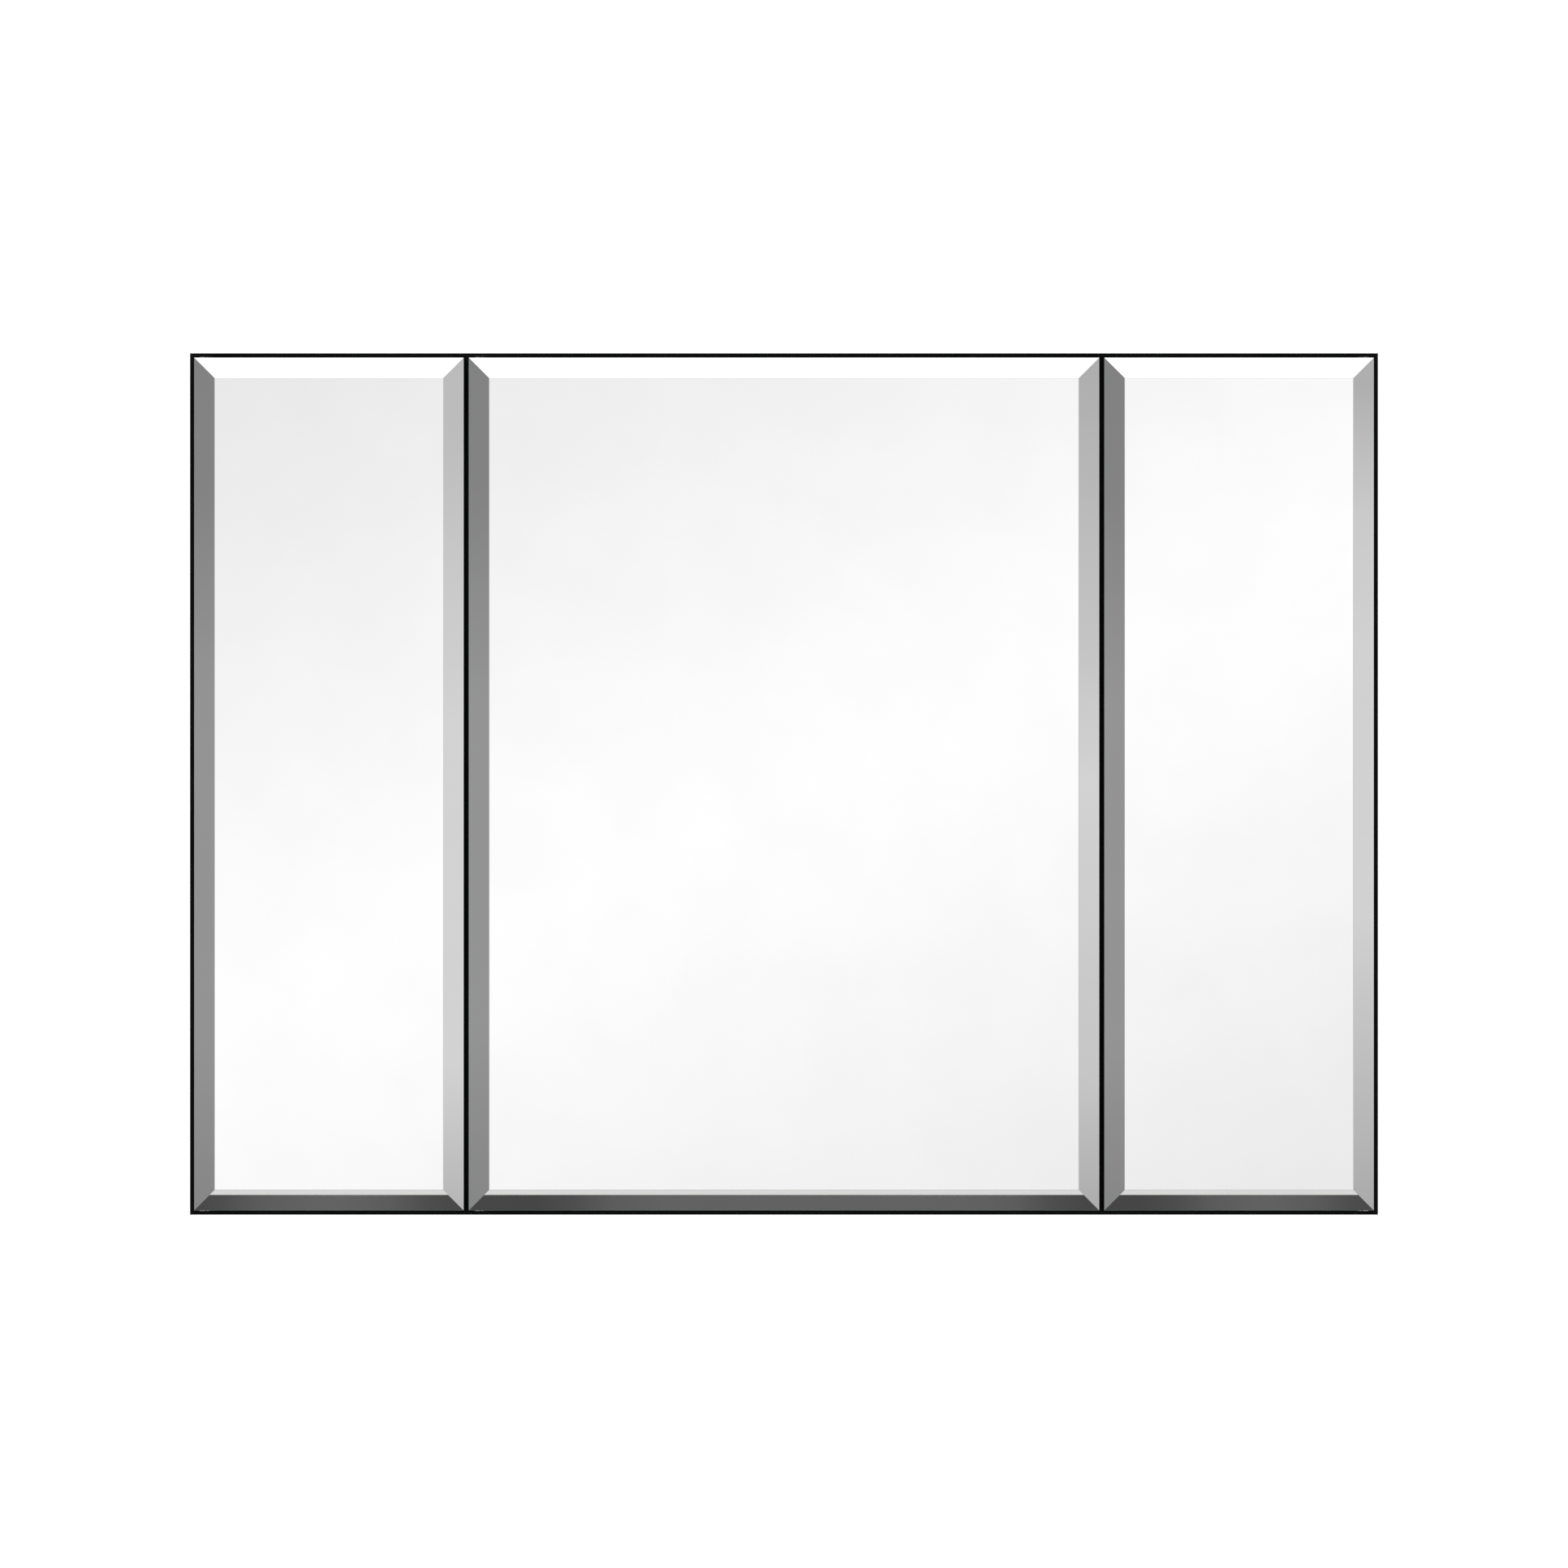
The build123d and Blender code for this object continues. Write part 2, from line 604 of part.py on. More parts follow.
for name, edge, s, width in doors:
    middle = edge + s * width / 2
    free = edge + s * width
    hinge_side, free_side = ("left", "right") if s == 1 else ("right", "left")

    # front mirror: a flat pane whose four edges are bevelled
    pane_width, pane_height = width - 2 * glass_inset, door_height - 2 * glass_inset
    flat_width, flat_height = pane_width - 2 * bevel_width, pane_height - 2 * bevel_width
    pane_edge = front - (glass_thickness - bevel_drop)
    with BuildPart() as pane:
        with BuildSketch(Plane(origin=(middle, front, 0), x_dir=(1, 0, 0), z_dir=(0, -1, 0))):
            Rectangle(pane_width, pane_height)
        extrude(amount=glass_thickness - bevel_drop)
        bevel_start = Plane(origin=(middle, pane_edge, 0), x_dir=(1, 0, 0), z_dir=(0, -1, 0))
        with BuildSketch(bevel_start):
            Rectangle(pane_width, pane_height)
        with BuildSketch(bevel_start.offset(bevel_drop)):
            Rectangle(flat_width, flat_height)
        loft()
    keep(f"{name}_door_mirror", pane.part)

    # hollow frame behind the glass
    for node, sides in (
        ("hinge_stile", (hinge_side,)),
        ("free_stile", (free_side,)),
        ("rails", ("top", "bottom")),
    ):
        with BuildPart() as members:
            for side in sides:
                add(ring_member(middle, width, door_height, side, member_outline, member_cavity).part)
            cut_pivot_seats(edge, s)
        keep(f"{name}_door_{node}", members.part)

    with BuildPart() as keys:
        corner_keys(middle, width / 2, door_top, member_wall, member_width, front, rear)
        cut_pivot_seats(edge, s)
    keep(f"{name}_door_corner_keys", keys.part)

    # board and rear mirror that fill the frame
    inside_w, inside_h = width / 2 - member_width, door_top - member_width
    board_rear = rear - door_mirror_thickness
    with BuildPart() as core:
        block(middle - inside_w, middle + inside_w, front, board_rear, -inside_h, inside_h)
    keep(f"{name}_door_core", core.part)
    with BuildPart() as rear_mirror:
        mirror_w, mirror_h = inside_w - door_mirror_gap, inside_h - door_mirror_gap
        block(middle - mirror_w, middle + mirror_w, board_rear, rear, -mirror_h, mirror_h)
    keep(f"{name}_door_rear_mirror", rear_mirror.part)

    # fittings
    with BuildPart() as bushes:
        x, y = at(edge, s, pivot_inset, pivot_out)
        for sz in (1, -1):
            top = sz * (notch_floor + bush_stand)
            round_bar((x, y, top), (0, 0, -sz), bush_radius, bush_length)
            round_bar((x, y, top), (0, 0, -sz), pin_radius + running_clearance, bush_length, Mode.SUBTRACT)
    keep(f"{name}_door_pivot_bushes", bushes.part)

    with BuildPart() as bumpers:
        end = door_top - bumper_end_inset
        for z in (-end, -bumper_middle, bumper_middle, end):
            seat = (free - s * bumper_inset, rear, z)
            round_bar(seat, (0, 1, 0), bumper_diameter / 2, bumper_height)
        fillet(bumpers.edges().group_by(Axis.Y)[-1], bumper_round)
    keep(f"{name}_door_bumpers", bumpers.part)

    with BuildPart() as strike:
        x = free + s * (door_spacing / 2 - mullion_half - catch_width / 2)
        x_low, x_high = x - strike_width / 2, x + strike_width / 2
        block(x_low, x_high, rear, rear + strike_thickness, -strike_height / 2, strike_height / 2)
    keep(f"{name}_door_strike_plate", strike.part)
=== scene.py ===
"""Looks of the three-door mirrored medicine cabinet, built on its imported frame.

Units are metres, in the part's own frame: X to the viewer's right, Y into the wall, Z up.
"""

import json
import math

import bmesh
import bpy
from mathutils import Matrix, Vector


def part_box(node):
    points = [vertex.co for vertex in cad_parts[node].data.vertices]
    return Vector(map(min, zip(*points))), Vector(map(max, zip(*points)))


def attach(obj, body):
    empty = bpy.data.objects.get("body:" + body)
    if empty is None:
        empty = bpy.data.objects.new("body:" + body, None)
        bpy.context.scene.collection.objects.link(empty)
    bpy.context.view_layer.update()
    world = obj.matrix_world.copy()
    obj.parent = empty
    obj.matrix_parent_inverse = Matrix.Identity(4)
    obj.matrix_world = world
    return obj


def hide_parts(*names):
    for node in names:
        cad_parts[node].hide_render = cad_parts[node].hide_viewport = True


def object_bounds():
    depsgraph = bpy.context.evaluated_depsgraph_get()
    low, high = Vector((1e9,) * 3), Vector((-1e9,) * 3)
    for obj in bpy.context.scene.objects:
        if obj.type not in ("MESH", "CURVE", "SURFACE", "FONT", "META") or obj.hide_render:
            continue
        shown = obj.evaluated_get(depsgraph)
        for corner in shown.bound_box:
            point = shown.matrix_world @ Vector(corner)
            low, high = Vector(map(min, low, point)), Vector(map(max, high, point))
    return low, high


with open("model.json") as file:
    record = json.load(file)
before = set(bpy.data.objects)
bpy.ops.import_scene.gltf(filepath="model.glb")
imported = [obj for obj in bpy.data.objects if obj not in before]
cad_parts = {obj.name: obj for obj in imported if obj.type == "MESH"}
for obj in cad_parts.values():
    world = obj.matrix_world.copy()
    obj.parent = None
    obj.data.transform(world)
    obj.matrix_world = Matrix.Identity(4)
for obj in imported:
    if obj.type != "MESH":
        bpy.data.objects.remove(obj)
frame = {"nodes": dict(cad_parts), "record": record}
cad_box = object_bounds()
nodes = frame["nodes"]
scene = bpy.context.scene
MM = 0.001
SIDES = ("left", "centre", "right")  # of the three doors, and of the three bays behind them


# ---------------------------------------------------------------- helpers
def linear(hex_colour):
    """An sRGB hex colour as linear RGBA."""
    parts = [int(hex_colour[i : i + 2], 16) / 255 for i in (0, 2, 4)]
    return (*[c / 12.92 if c <= 0.04045 else ((c + 0.055) / 1.055) ** 2.4 for c in parts], 1.0)


def grey(level):
    """A neutral tone from 0 to 255 as linear RGBA."""
    return linear(f"{level:02x}" * 3)


def add_node(tree, kind, settings=None, links=None):
    """Adds a node. Settings name inputs or properties, links join an input to another node's output."""
    node = tree.nodes.new(kind)
    for name, value in (settings or {}).items():
        if isinstance(name, int) or name in node.inputs:
            node.inputs[name].default_value = value
        else:
            setattr(node, name, value)
    for name, socket in (links or {}).items():
        tree.links.new(socket, node.inputs[name])
    return node


def new_material(name):
    """An empty node material: returns it and its tree."""
    material = bpy.data.materials.new(name)
    material.use_nodes = True
    material.node_tree.nodes.clear()
    return material, material.node_tree


def set_stops(ramp, stops):
    """Gives a colour ramp node its (place, colour) stops."""
    elements = ramp.color_ramp.elements
    while len(elements) > 1:
        elements.remove(elements[-1])
    elements[0].position, elements[0].color = stops[0]
    for place, colour in stops[1:]:
        elements.new(place).color = colour


# ---------------------------------------------------------------- patterns
# Each returns a function that draws the pattern in a material's tree and gives the socket it comes from.
def cloud(size_mm, longer=(1, 1, 1), detail=3.0):
    """Noise whose spots are size_mm across, and so many times longer along X, Y and Z."""

    def draw(tree):
        place = add_node(tree, "ShaderNodeTexCoord")
        scale = [1 / (size_mm * MM * times) for times in longer]
        spread = add_node(tree, "ShaderNodeMapping", {"Scale": scale}, {"Vector": place.outputs["Object"]})
        settings = {"Scale": 1.0, "Detail": detail}
        noise = add_node(tree, "ShaderNodeTexNoise", settings, {"Vector": spread.outputs["Vector"]})
        return noise.outputs["Fac"]

    return draw


def grooves(pitch_mm):
    """Straight grooves a pitch apart, one after another into the cabinet's depth."""

    def draw(tree):
        place = add_node(tree, "ShaderNodeTexCoord")
        # at scale 1 the wave texture repeats every pi / 10 metres
        settings = {"bands_direction": "Y", "Scale": math.pi / 10 / (pitch_mm * MM)}
        waves = add_node(tree, "ShaderNodeTexWave", settings, {"Vector": place.outputs["Object"]})
        return waves.outputs["Fac"]

    return draw


def lying_flat(tree):
    """0 on upright faces, up to 1 on level ones."""
    place = add_node(tree, "ShaderNodeTexCoord")
    facing = add_node(tree, "ShaderNodeSeparateXYZ", links={"Vector": place.outputs["Normal"]})
    level = add_node(tree, "ShaderNodeMath", {"operation": "ABSOLUTE"}, {0: facing.outputs["Z"]})
    return level.outputs["Value"]


# ---------------------------------------------------------------- finishes
NOISE_RANGE = {"From Min": 0.3, "From Max": 0.7}  # where nearly all of a noise's values lie
NOISE_MIDDLE = (0.35, 0.65)


def finish(name, tones, tint, rough, grain, relief_mm=0.0, relief=None, tones_at=NOISE_MIDDLE, settings=None):
    """A material whose colour goes between two hex tones with one pattern, its sheen and relief with another.

    Roughness is a (low, high) range, or one number where it is even. Relief is its real depth.
    """
    material, tree = new_material(name)
    settings = dict(settings or {})
    colour_from = tint(tree)
    grain_from = colour_from if grain is tint else grain(tree)
    ramp = add_node(tree, "ShaderNodeValToRGB", links={"Fac": colour_from})
    set_stops(ramp, [(place, linear(tone)) for place, tone in zip(tones_at, tones)])
    links = {"Base Color": ramp.outputs["Color"]}
    if isinstance(rough, tuple):
        wide = {**NOISE_RANGE, "To Min": rough[0], "To Max": rough[1]}
        sheen = add_node(tree, "ShaderNodeMapRange", wide, {"Value": grain_from})
        links["Roughness"] = sheen.outputs["Result"]
    else:
        settings["Roughness"] = rough
    if relief_mm:
        height = relief(tree) if relief else grain_from
        bump = add_node(tree, "ShaderNodeBump", {"Distance": relief_mm * MM}, {"Height": height})
        links["Normal"] = bump.outputs["Normal"]
    shader = add_node(tree, "ShaderNodeBsdfPrincipled", settings, links)
    add_node(tree, "ShaderNodeOutputMaterial", links={"Surface": shader.outputs["BSDF"]})
    return material


METAL = {"Metallic": 1.0}
GLASS_IOR, PLASTIC_IOR = 1.52, 1.5

# float glass silvered on its back: neutral, sends back nine tenths of the light, with the faintest haze
haze = cloud(60.0)
MIRROR = finish("silvered_float_glass", ("f3f3f3", "f5f5f5"), haze, (0.0, 0.006), haze, settings=METAL)

# its edge, ground and polished: iron in the glass turns it sea green.
# Grinding marks are about 0.05 mm wide, drawn at 0.4 mm so that they show
grinding = cloud(0.4, longer=(30, 1, 30))
EDGE = finish(
    "polished_glass_edge", ("3f6a5d", "6a9383"), grinding, (0.08, 0.22), grinding, settings={"IOR": GLASS_IOR}
)

# the grey paint over the silver, curtain coated: smooth with a slight orange peel
peel = cloud(2.5)
BACKING = finish(
    "mirror_backing_paint",
    ("5c6664", "667170"),
    peel,
    0.45,
    peel,
    relief_mm=0.02,
    settings={"IOR": PLASTIC_IOR},
)

# clear toughened glass: colourless through its faces, green where its polished edges are seen
SHELF = finish(
    "toughened_shelf_glass",
    ("6fb79c", "f2faf7"),
    lying_flat,
    (0.0, 0.02),
    cloud(40.0),
    tones_at=(0.2, 0.9),
    settings={"IOR": GLASS_IOR, "Transmission Weight": 1.0},
)

# aluminium sheet, rolled, etched and clear anodised: pale satin with a fine grain along the rolling.
# The grain is about 0.1 mm wide, drawn at 0.8 mm so that it shows
SATIN = finish(
    "satin_anodised_aluminium",
    ("cccdce", "cfd0d1"),
    cloud(140.0, detail=1.0),
    (0.34, 0.44),
    cloud(0.8, longer=(40, 40, 1)),
    relief_mm=0.006,
    settings=METAL,
)

# extruded aluminium, dyed black in the anodising: a deep satin black with faint die lines along it.
# The lines are about 0.2 mm wide, drawn at 0.6 mm so that they show.
# The doors' own extrusion has finger grooves along its outer face
EXTRUDED = {
    "tones": ("141415", "1a1a1b"),
    "tint": cloud(30.0),
    "rough": (0.30, 0.42),
    "grain": cloud(0.6, longer=(200, 1, 200)),
    "settings": METAL,
}
BLACK = finish("black_anodised_aluminium", relief_mm=0.012, **EXTRUDED)
BLACK_GROOVED = finish("black_anodised_door_extrusion", relief_mm=0.25, relief=grooves(4.0), **EXTRUDED)


def plated(name, tones, rough, grain_mm, settings=METAL):
    """A plated or ground surface: a soft cloud in its colour and a fine grain in its sheen.

    The real grain is under 0.1 mm: it is drawn coarser so that it shows.
    """
    return finish(name, tones, cloud(8.0), rough, cloud(grain_mm), relief_mm=0.01, settings=settings)


def moulded(name, tones, rough, settings=None):
    """A moulded plastic, rubber or board: even colour with a spark texture from the mould, 0.5 mm across."""
    spark = cloud(0.5)
    settings = {"IOR": PLASTIC_IOR, **(settings or {})}
    return finish(name, tones, spark, rough, spark, relief_mm=0.02, settings=settings)


# bright nickel is warm, zinc bluish and duller, and a bare rivet pale
NICKEL = plated("nickel_plated_steel", ("aaa59b", "b8b3a9"), (0.15, 0.27), 0.6)
ZINC = plated("zinc_plated_steel", ("a3a9b0", "b5b9bc"), (0.29, 0.41), 0.8)
RIVET = plated("aluminium_rivet", ("bfc1c3", "cdcfd0"), (0.25, 0.37), 0.5)
# sintered ferrite is charcoal grey and slightly grainy, ground flat on its faces
FERRITE = plated("ground_ferrite", ("2a2a2d", "38383b"), (0.45, 0.57), 0.7, settings={"Metallic": 0.0})
# glass-filled nylon comes out of the mould dull black, acetal waxy white and soft rubber cloudy
NYLON = moulded("black_glass_filled_nylon", ("161617", "1e1e1f"), (0.45, 0.55))
ACETAL = moulded("white_acetal", ("e2e1dc", "ecebe6"), (0.35, 0.45))
RUBBER = moulded("clear_soft_rubber", ("d3d8da", "dde1e2"), (0.25, 0.35), {"Transmission Weight": 0.6})
# pressed fibre board, brown with short fibres
BOARD = moulded("pressed_fibre_board", ("7a6146", "a98d68"), (0.80, 0.90))


# ---------------------------------------------------------------- mirror panes
def make_piece(name, mesh, body, materials, stands_for):
    """Puts a finished mesh on a body, in place of a CAD node."""
    piece = bpy.data.objects.new(name, mesh)
    scene.collection.objects.link(piece)
    for material in materials:
        mesh.materials.append(material)
    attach(piece, body)
    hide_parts(stands_for)


SILVER, GROUND, PAINT = 0, 1, 2  # a pane's material slots
ARRIS = 0.1 * MM  # the small chamfer along a pane's ground edge
CREASE = 0.25 * MM  # how far the line between flat and bevel is eased to each side
BEVEL, BEVEL_DROP = 16.0 * MM, 2.8 * MM


def pane(node, body, face=SILVER, back_face=PAINT, bevel=0.0, drop=0.0):
    """A mirror pane in its CAD box, with ground edges, and a bevel round its front if it has one."""
    low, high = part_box(node)
    front, back = low.y, high.y
    # (inset from the outline, y, slot of the band that ends here), from the back to the front
    rings = [(ARRIS, back, back_face), (0.0, back - ARRIS, GROUND), (0.0, front + drop + ARRIS, GROUND)]
    if bevel:
        # the crease turns from the bevel's slope to the flat in two steps
        eased = CREASE * drop / bevel
        rings += [
            (ARRIS, front + drop * (1 - ARRIS / bevel), GROUND),
            (bevel - CREASE, front + eased, face),
            (bevel, front + eased / 4, face),
            (bevel + CREASE, front, face),
        ]
    else:
        rings += [(ARRIS, front, GROUND)]
    bm = bmesh.new()
    loops = []
    for inset, y, _ in rings:
        left, right, bottom, top = low.x + inset, high.x - inset, low.z + inset, high.z - inset
        corners = ((left, bottom), (right, bottom), (right, top), (left, top))
        loops.append([bm.verts.new((x, y, z)) for x, z in corners])
    for near, far, (_, _, band) in zip(loops, loops[1:], rings[1:]):
        for i in range(4):
            j = (i + 1) % 4
            bm.faces.new((near[i], near[j], far[j], far[i])).material_index = band
    bm.faces.new(loops[0]).material_index = back_face
    bm.faces.new(loops[-1]).material_index = face
    bmesh.ops.recalc_face_normals(bm, faces=bm.faces)
    mesh = bpy.data.meshes.new(node + "_pane")
    bm.to_mesh(mesh)
    bm.free()
    make_piece(node + "_glass", mesh, body, (MIRROR, EDGE, BACKING), node)


for side in SIDES:
    pane(f"{side}_door_mirror", f"{side}_door", bevel=BEVEL, drop=BEVEL_DROP)
    # a door's rear mirror looks into the cabinet, so its silver is on the other face
    pane(f"{side}_door_rear_mirror", f"{side}_door", face=PAINT, back_face=SILVER)
for side in SIDES:
    pane(f"{side}_back_mirror", "cabinet")


# ---------------------------------------------------------------- rivets and shelf pins
def lumps_of(node):
    """The separate lumps of a CAD node, as lists of points."""
    same_point = 0.001 * MM
    bm = bmesh.new()
    bm.from_mesh(nodes[node].data)
    bmesh.ops.remove_doubles(bm, verts=bm.verts, dist=same_point)
    seen, lumps = set(), []
    for first in bm.verts:
        if first in seen:
            continue
        seen.add(first)
        lump, waiting = [], [first]
        while waiting:
            vert = waiting.pop()
            lump.append(vert.co.copy())
            for edge in vert.link_edges:
                other = edge.other_vert(vert)
                if other not in seen:
                    seen.add(other)
                    waiting.append(other)
        lumps.append(lump)
    bm.free()
    return lumps


def spans_of(points):
    """The lowest and highest value of some points along X, Y and Z."""
    return [(min(p[axis] for p in points), max(p[axis] for p in points)) for axis in range(3)]


def lathe(bm, profile, seat, outward, segments):
    """Turns a (radius, height) profile about an axis, in millimetres from its seat."""
    turn = Vector((0, 0, 1)).rotation_difference(outward).to_matrix()
    rows = []
    for radius, height in profile:
        count = segments if radius else 1
        angles = [2 * math.pi * i / segments for i in range(count)]
        points = [Vector((radius * math.cos(a), radius * math.sin(a), height)) * MM for a in angles]
        rows.append([bm.verts.new(seat + turn @ p) for p in points])
    for lower, upper in zip(rows, rows[1:]):
        for i in range(segments):
            j = (i + 1) % segments
            corners = [lower[i % len(lower)], lower[j % len(lower)]]
            corners += [upper[j % len(upper)], upper[i % len(upper)]]
            # at a tip two corners are one point, and the face is a triangle
            bm.faces.new(list(dict.fromkeys(corners)))


def turned_pieces(node, shape_of, material, segments):
    """Puts a turned shape in place of each lump of a CAD node of the cabinet, at the same seat."""
    sharp_from = math.radians(35)
    bm = bmesh.new()
    for lump in lumps_of(node):
        seat, outward, profile = shape_of(lump)
        lathe(bm, profile, seat, outward, segments)
    bmesh.ops.recalc_face_normals(bm, faces=bm.faces)
    for face in bm.faces:
        face.smooth = True
    mesh = bpy.data.meshes.new(node + "_turned")
    bm.to_mesh(mesh)
    bm.free()
    make_piece(node + "_turned_pieces", mesh, "cabinet", (material,), node)
    mesh.set_sharp_from_angle(angle=sharp_from)


def rivet(lump):
    """A set blind rivet for a CAD lump: the seat under its head, the head's direction and its profile."""
    spans = spans_of(lump)
    axis = min(range(3), key=lambda i: spans[i][1] - spans[i][0])
    low, high = spans[axis]
    across = (axis + 1) % 3
    middle = sum(spans[across]) / 2
    rim = max(lump, key=lambda p: abs(p[across] - middle))
    sign = 1 if rim[axis] > (low + high) / 2 else -1
    seat = Vector([sum(span) / 2 for span in spans])
    seat[axis] = rim[axis]
    outward = Vector((0, 0, 0))
    outward[axis] = sign
    grip = (rim[axis] - low if sign == 1 else high - rim[axis]) / MM
    broken_mandrel = [(0, 0.62), (0.85, 0.6), (0.95, 0.9)]
    dome = [(1.25, 0.99), (1.9, 0.86), (2.5, 0.55), (2.9, 0.18), (2.98, 0.0)]
    shank = [(1.55, 0.0), (1.55, 0.3 - grip), (1.3, -grip), (0, -grip)]
    return seat, outward, broken_mandrel + dome + shank


def shelf_pin(lump):
    """A turned shelf pin for a CAD lump: its seat on the wall, the way its peg points and its profile."""
    only_collar = 4.2 * MM  # further from the axis than this there is nothing but the collar
    (low, high), across, upright = spans_of(lump)
    middle = sum(upright) / 2
    collar_x = [p.x for p in lump if abs(p.z - middle) > only_collar]
    sign = 1 if high - max(collar_x) > min(collar_x) - low else -1
    seat_x = min(collar_x) if sign == 1 else max(collar_x)
    # three turned lengths, each with its edges broken
    peg = [(0, 9.0), (2.5, 9.0), (2.85, 8.85), (3.0, 8.5), (3.0, 1.5), (3.15, 1.2)]
    collar = [(4.2, 1.2), (4.42, 1.12), (4.5, 0.9), (4.5, 0.2), (4.35, 0.0)]
    stem = [(2.4, 0.0), (2.4, -3.5), (2.1, -4.0), (0, -4.0)]
    return Vector((seat_x, sum(across) / 2, middle)), Vector((sign, 0, 0)), peg + collar + stem


turned_pieces("rivets", rivet, RIVET, segments=24)
turned_pieces("shelf_pins", shelf_pin, NICKEL, segments=32)

# ---------------------------------------------------------------- finishes of the CAD nodes
FINISHES = {
    "satin_aluminium": SATIN,
    "black_aluminium": BLACK,
    "bevelled_mirror": MIRROR,
    "flat_mirror": MIRROR,
    "shelf_glass": SHELF,
    "nickel_plate": NICKEL,
    "zinc_steel": ZINC,
    "rivet_aluminium": RIVET,
    "black_nylon": NYLON,
    "white_acetal": ACETAL,
    "ferrite": FERRITE,
    "clear_rubber": RUBBER,
    "core_board": BOARD,
}
for part in frame["record"]["subparts"]:
    material = FINISHES[part["material_slot"]]
    if material is BLACK and "_door_" in part["node"]:
        material = BLACK_GROOVED
    mesh = nodes[part["node"]].data
    mesh.materials.clear()
    mesh.materials.append(material)

# ---------------------------------------------------------------- camera
# a long lens from straight in front: the front frame's outline takes this share of the picture's width
OUTLINE_SHARE = 0.7576
LENS, SENSOR = 800.0, 36.0
low, high = cad_box
camera = bpy.data.objects.new("camera", bpy.data.cameras.new("camera"))
scene.collection.objects.link(camera)
scene.camera = camera
distance = (high.x - low.x) / OUTLINE_SHARE * LENS / SENSOR
outline_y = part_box("frame_stiles")[0].y
camera.location = ((low.x + high.x) / 2, outline_y - distance, (low.z + high.z) / 2)
camera.rotation_euler = (math.pi / 2, 0, 0)
camera.data.lens, camera.data.sensor_width = LENS, SENSOR
camera.data.clip_end = 100.0

# ---------------------------------------------------------------- studio cards that the mirrors show
scene.view_settings.view_transform = "Standard"
REFLECTED = 0.905  # share of light that the silvering sends back
TURN = 2 * math.atan(BEVEL_DROP / BEVEL)  # a polished bevel turns the view by twice its slope
UP, ALONG, SLANTING = (0.0, 0.0, 1.0), (1.0, 0.0, 0.0), (0.4, 0.0, -1.0)


def card(name, centre, size, stops, direction, aside=0.0, both_ways=False, gain=1.0):
    """A glowing card that only mirrors show. Its tone runs along a direction, in metres from its centre."""
    half_w, half_h = size[0] / 2, size[1] / 2
    corners = ((-half_w, -half_h), (half_w, -half_h), (half_w, half_h), (-half_w, half_h))
    mesh = bpy.data.meshes.new(name)
    mesh.from_pydata([(x, 0, z) for x, z in corners], [], [(0, 1, 2, 3)])
    plane = bpy.data.objects.new(name, mesh)
    plane.location = centre
    scene.collection.objects.link(plane)
    material, tree = new_material(name + "_glow")
    place = add_node(tree, "ShaderNodeTexCoord")
    settings = {"operation": "DOT_PRODUCT", 1: direction}
    along = add_node(tree, "ShaderNodeVectorMath", settings, {0: place.outputs["Object"]})
    reading = add_node(
        tree, "ShaderNodeMath", {"operation": "SUBTRACT", 1: aside}, {0: along.outputs["Value"]}
    )
    if both_ways:
        reading = add_node(tree, "ShaderNodeMath", {"operation": "ABSOLUTE"}, {0: reading.outputs["Value"]})
    first, last = stops[0][0], stops[-1][0]
    share = add_node(
        tree, "ShaderNodeMapRange", {"From Min": first, "From Max": last}, {"Value": reading.outputs["Value"]}
    )
    ramp = add_node(tree, "ShaderNodeValToRGB", links={"Fac": share.outputs["Result"]})
    set_stops(ramp, [((at - first) / (last - first), grey(tone)) for at, tone in stops])
    glow = add_node(
        tree, "ShaderNodeEmission", {"Strength": gain / REFLECTED}, {"Color": ramp.outputs["Color"]}
    )
    add_node(tree, "ShaderNodeOutputMaterial", links={"Surface": glow.outputs["Emission"]})
    mesh.materials.append(material)
    plane.visible_camera = False
    plane.visible_shadow = False


CARD_OUT = 5.0  # how far most cards stand in front of the mirrors
card_y = low.y - CARD_OUT

# the main card, opposite the flats: brightest along a slanting band, a little aside from the middle
MAIN_CARD = (1.3, 1.0)
BAND = ((0.0, 254), (0.10, 252), (0.55, 234), (0.65, 232))
card("main_card", (0, card_y, 0), MAIN_CARD, BAND, SLANTING, aside=0.014, both_ways=True)

# a narrow card opposite each upright bevel, (height, tone): the left bevels alike, each right one its own
UPRIGHT_CARD = (0.04, 1.1)
LEFT_BEVEL = ((-0.42, 132), (-0.24, 147), (0.08, 148), (0.26, 132), (0.42, 129))
RIGHT_BEVEL = {
    "left": ((-0.42, 176), (-0.26, 210), (0.06, 210), (0.34, 188), (0.42, 186)),
    "centre": ((-0.42, 167), (-0.28, 196), (0.0, 211), (0.13, 196), (0.42, 171)),
    "right": ((-0.42, 166), (-0.12, 209), (0.10, 209), (0.25, 202), (0.37, 175)),
}
for door in SIDES:
    pane_low, pane_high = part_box(f"{door}_door_mirror")
    for side, sign, x, stops in (
        ("left", -1, pane_low.x + BEVEL / 2, LEFT_BEVEL),
        ("right", 1, pane_high.x - BEVEL / 2, RIGHT_BEVEL[door]),
    ):
        # the view comes to the bevel a little from the middle, and leaves it turned further out
        swing = TURN + sign * x / distance
        centre = (x + sign * CARD_OUT * math.tan(swing), card_y, 0)
        card(f"{door}_door_{side}_bevel_card", centre, UPRIGHT_CARD, stops, UP)

# a white card above, opposite the top bevels
TOP_CARD = (3.0, 1.2)
top_z = high.z + CARD_OUT * math.tan(TURN)
card("top_card", (0, card_y, top_z), TOP_CARD, ((-1.0, 255), (1.0, 255)), ALONG, gain=1.1)

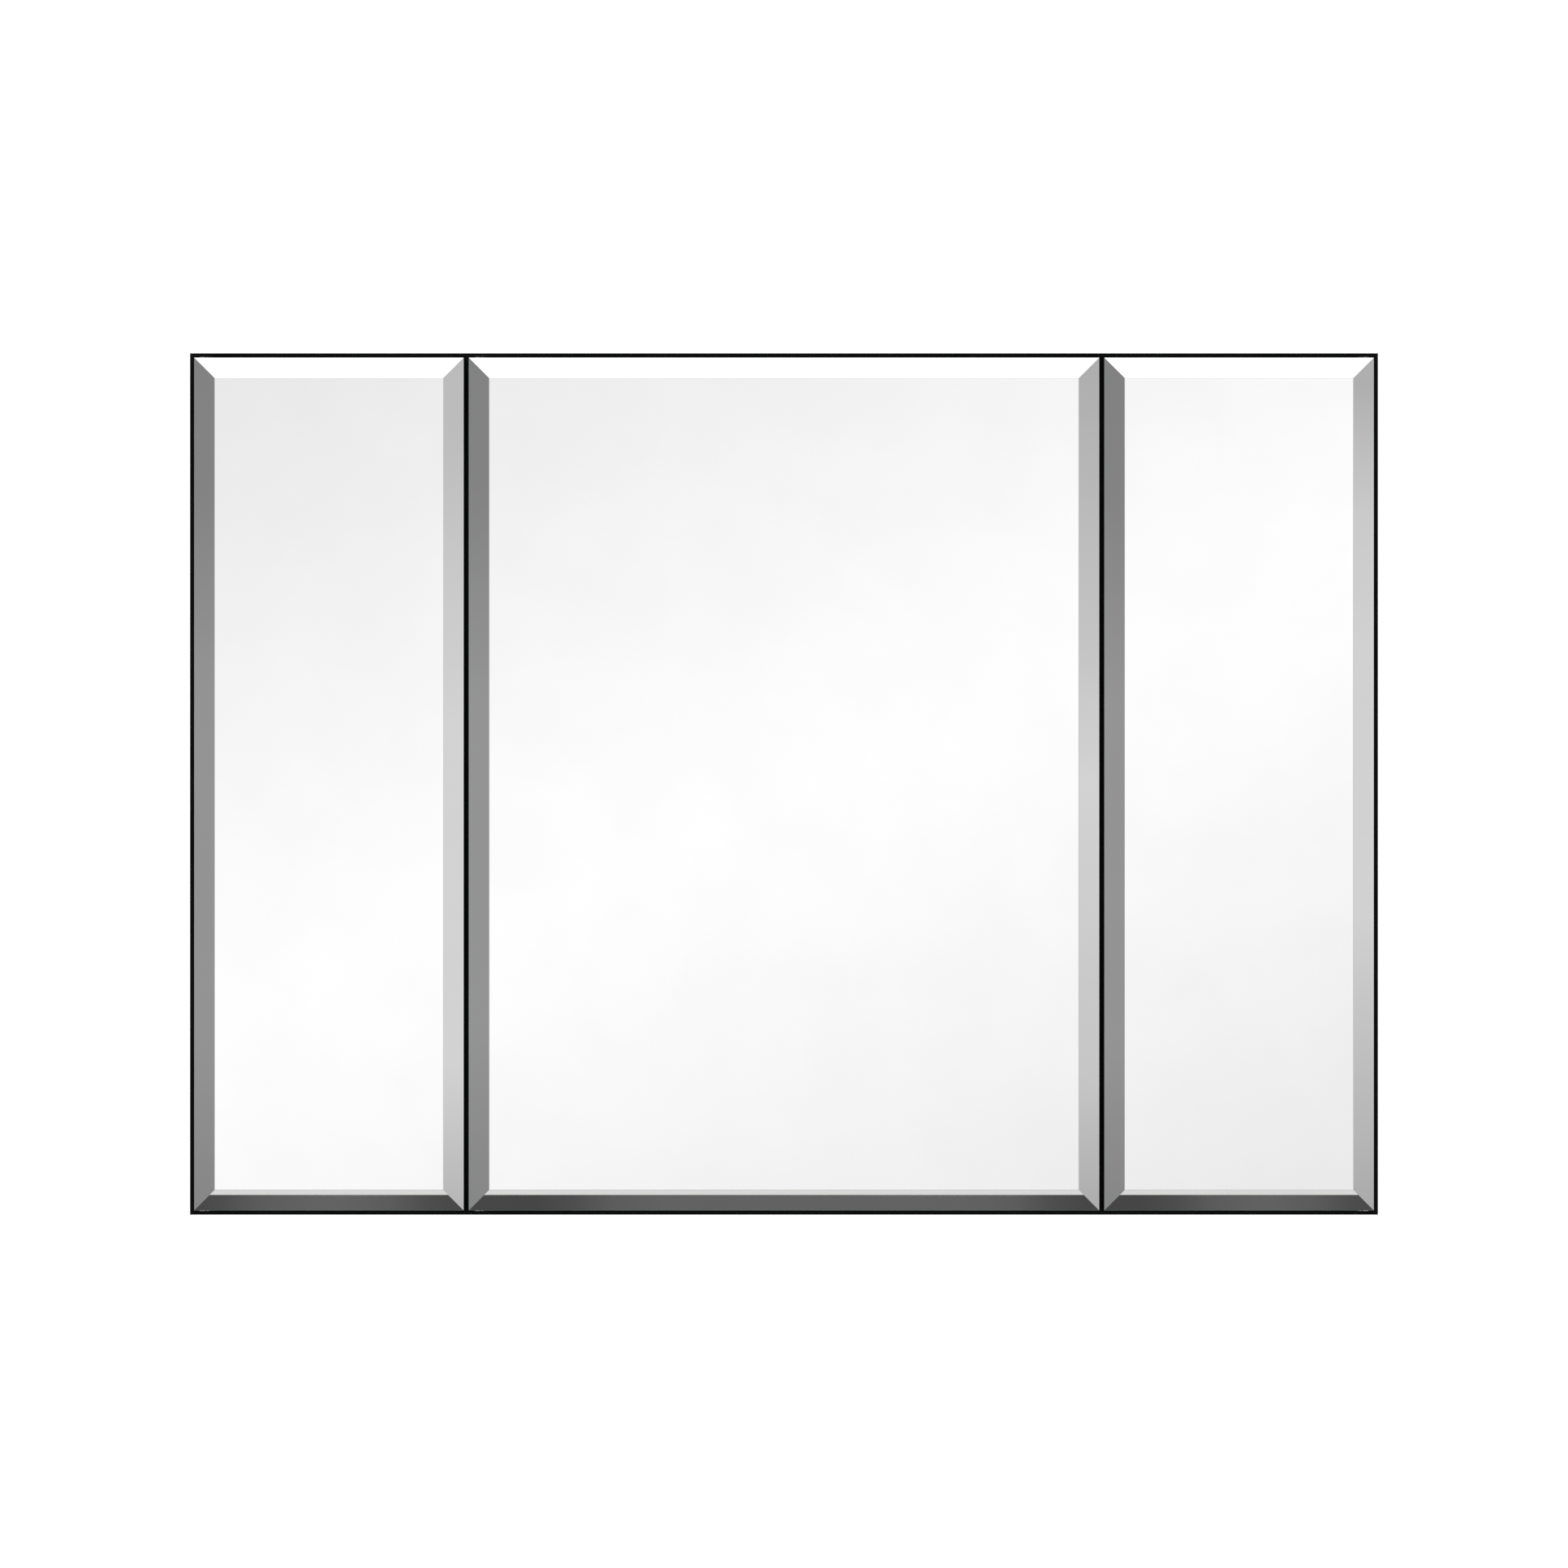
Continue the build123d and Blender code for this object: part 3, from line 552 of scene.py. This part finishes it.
# a dark card below, opposite the bottom bevels: darkest towards each door's two ends.
# Its tone comes up from so far inside the door's left and right end
LOW_CARD = (1.1, 0.035)
LOW_OUT = 3.2
LOW_ENDS = {"left": (-0.012, 0.0), "centre": (0.050, 0.005), "right": (0.030, -0.015)}
LOW_FADE = ((0.0, 70), (0.03, 78), (0.06, 92), (0.10, 98))
low_spread = 1 + LOW_OUT / distance  # the doors' width, as their bevels show it at the card
low_stops = []
for door, (left_end, right_end) in LOW_ENDS.items():
    pane_low, pane_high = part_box(f"{door}_door_mirror")
    low_stops += [(pane_low.x + left_end + step, tone) for step, tone in LOW_FADE]
    low_stops += [(pane_high.x - right_end - step, tone) for step, tone in reversed(LOW_FADE)]
low_stops = [(x * low_spread, tone) for x, tone in low_stops]
low_z = low.z - LOW_OUT * math.tan(TURN + high.z / distance)
card("low_card", (0, low.y - LOW_OUT, low_z), LOW_CARD, low_stops, ALONG)

# ---------------------------------------------------------------- floor
# plain and pale, well below a cabinet that hangs on a wall. It is a little deeper in front of the
# cabinet than behind it, so that the mirrors stand out on it
FLOOR_Z, FLOOR_RADIUS, FLOOR_FADE = -1.58, 18.0, 2.5
FLOOR_CORNERS = 64
turns = [2 * math.pi * i / FLOOR_CORNERS for i in range(FLOOR_CORNERS)]
mesh = bpy.data.meshes.new("floor")
rim = [(FLOOR_RADIUS * math.cos(turn), FLOOR_RADIUS * math.sin(turn), 0) for turn in turns]
mesh.from_pydata(rim, [], [range(FLOOR_CORNERS)])
floor = bpy.data.objects.new("floor", mesh)
floor.location.z = FLOOR_Z
scene.collection.objects.link(floor)
material, tree = new_material("pale_floor")
place = add_node(tree, "ShaderNodeTexCoord")
along = add_node(tree, "ShaderNodeSeparateXYZ", links={"Vector": place.outputs["Object"]})
fade = {"From Min": -FLOOR_FADE, "From Max": FLOOR_FADE}
share = add_node(tree, "ShaderNodeMapRange", fade, {"Value": along.outputs["Y"]})
sweep = add_node(tree, "ShaderNodeValToRGB", links={"Fac": share.outputs["Result"]})
set_stops(sweep, [(0.0, linear("d9d9d8")), (0.5, linear("e6e5e3")), (1.0, linear("f8f7f5"))])
shader = add_node(
    tree, "ShaderNodeBsdfPrincipled", {"Roughness": 0.7}, {"Base Color": sweep.outputs["Color"]}
)
add_node(tree, "ShaderNodeOutputMaterial", links={"Surface": shader.outputs["BSDF"]})
mesh.materials.append(material)

# ---------------------------------------------------------------- light
# a pale room, lighter towards its ceiling so that mirrors and metal have something to show,
# and white where the camera looks straight at it
world = bpy.data.worlds.new("pale_room")
world.use_nodes = True
tree = world.node_tree
tree.nodes.clear()
place = add_node(tree, "ShaderNodeTexCoord")
height = add_node(tree, "ShaderNodeSeparateXYZ", links={"Vector": place.outputs["Generated"]})
walls = add_node(
    tree, "ShaderNodeMapRange", {"From Min": -1.0, "From Max": 1.0}, {"Value": height.outputs["Z"]}
)
tones = add_node(tree, "ShaderNodeValToRGB", links={"Fac": walls.outputs["Result"]})
set_stops(tones, [(0.0, grey(215)), (0.48, grey(205)), (0.62, grey(228)), (1.0, grey(252))])
room = add_node(tree, "ShaderNodeBackground", {"Strength": 1.0}, {"Color": tones.outputs["Color"]})
white = add_node(tree, "ShaderNodeBackground", {"Color": grey(255), "Strength": 1.02})
ray = add_node(tree, "ShaderNodeLightPath")
links = {"Fac": ray.outputs["Is Camera Ray"], 1: room.outputs["Background"], 2: white.outputs["Background"]}
both = add_node(tree, "ShaderNodeMixShader", links=links)
add_node(tree, "ShaderNodeOutputWorld", links={"Surface": both.outputs["Shader"]})
scene.world = world

# large soft square lamps aimed at the cabinet: one overhead, one at each side and a weak one behind
for name, place, size, watts in (
    ("overhead_lamp", (0.6, -2.0, 3.2), 2.4, 34.0),
    ("left_lamp", (-3.0, -1.4, 3.2), 1.6, 36.0),
    ("right_lamp", (3.2, -1.0, 3.0), 1.6, 26.0),
    ("rear_lamp", (1.2, 3.6, 1.0), 2.6, 12.0),
):
    lamp = bpy.data.lights.new(name, "AREA")
    lamp.shape, lamp.size, lamp.energy = "SQUARE", size, watts
    holder = bpy.data.objects.new(name, lamp)
    holder.location = place
    holder.rotation_euler = (-Vector(place)).to_track_quat("-Z", "Y").to_euler()
    scene.collection.objects.link(holder)
